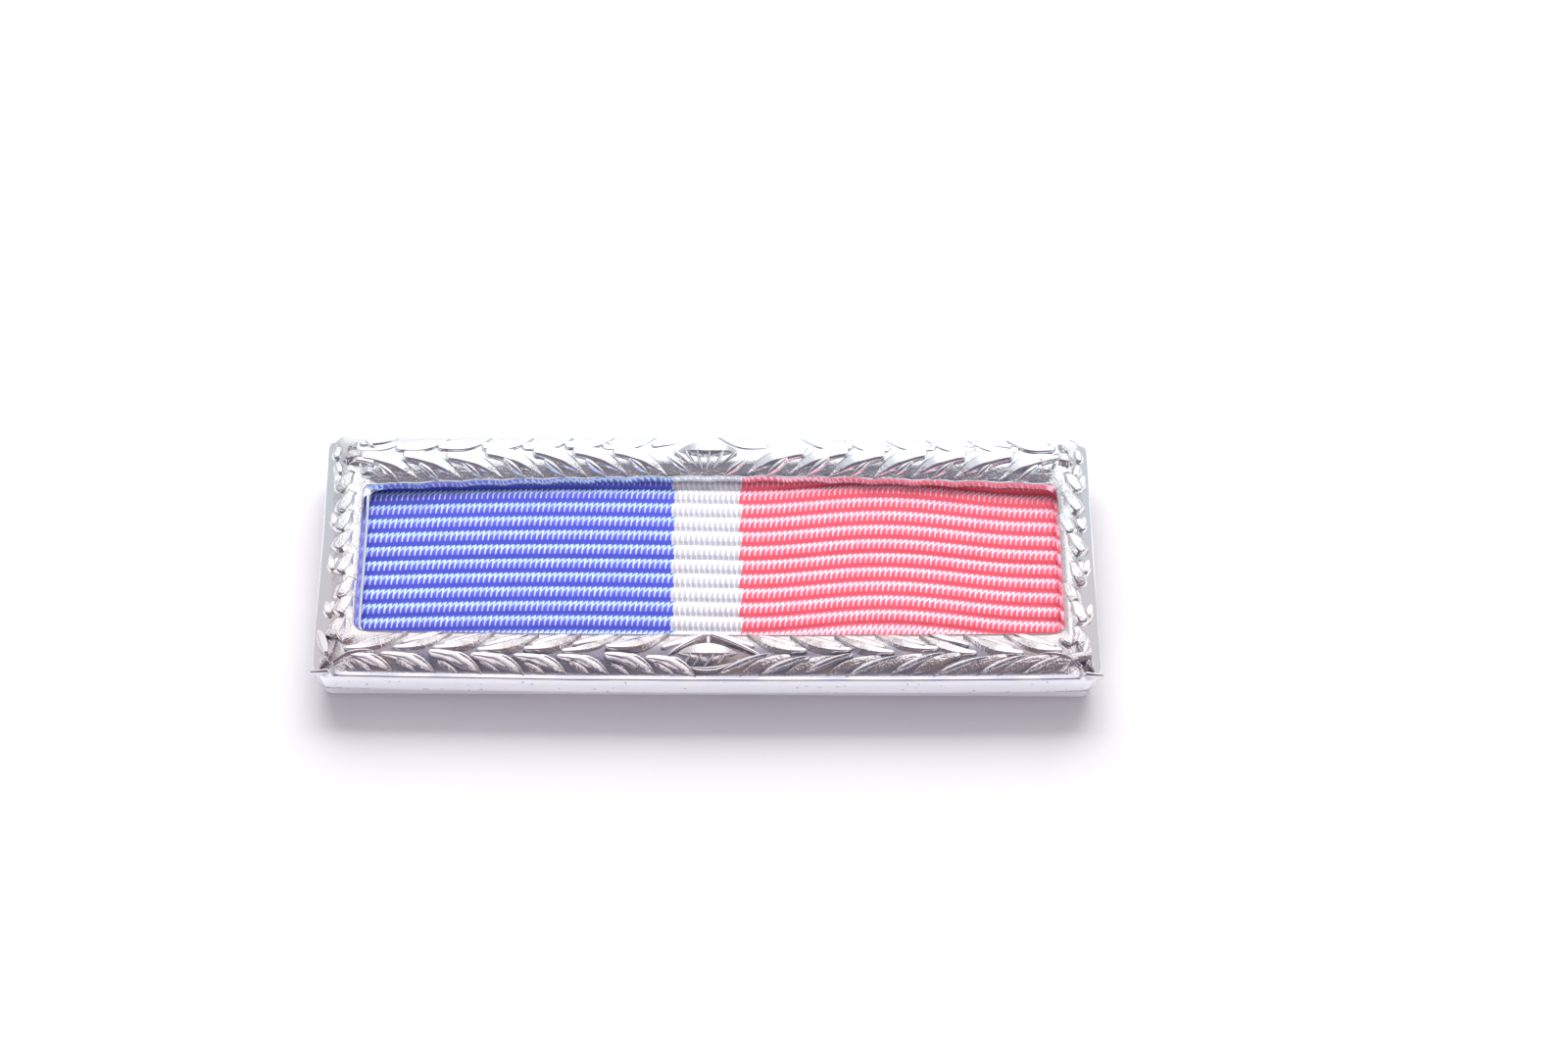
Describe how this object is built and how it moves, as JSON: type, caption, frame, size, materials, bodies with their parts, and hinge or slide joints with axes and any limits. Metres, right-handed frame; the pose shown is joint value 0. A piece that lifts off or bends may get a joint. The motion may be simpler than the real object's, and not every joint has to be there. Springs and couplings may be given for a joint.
{
  "type": "framed ribbon bar",
  "caption": "Flat ribbon bar: a cast laurel frame round a corded ribbon in blue, white and red stripes, on a folded metal back that slides onto a holder strip.",
  "frame": {"origin": "centre of the footprint, on the surface that the bar lies on", "axes": "+X runs along the bar from its blue end to its red end, +Y is up as worn, +Z points out of the face"},
  "size_m": [0.0368, 0.0142, 0.0028],
  "materials": {
    "bright_plate": "bright cast plate, silver coloured",
    "corded_ribbon": "corded silk-like weave in blue, white and red stripes",
    "dull_plate": "dull rolled sheet"
  },
  "bodies": {
    "root": {"laurel_frame": "bright_plate", "ribbon": "corded_ribbon", "slide_back": "dull_plate"}
  },
  "joints": []
}
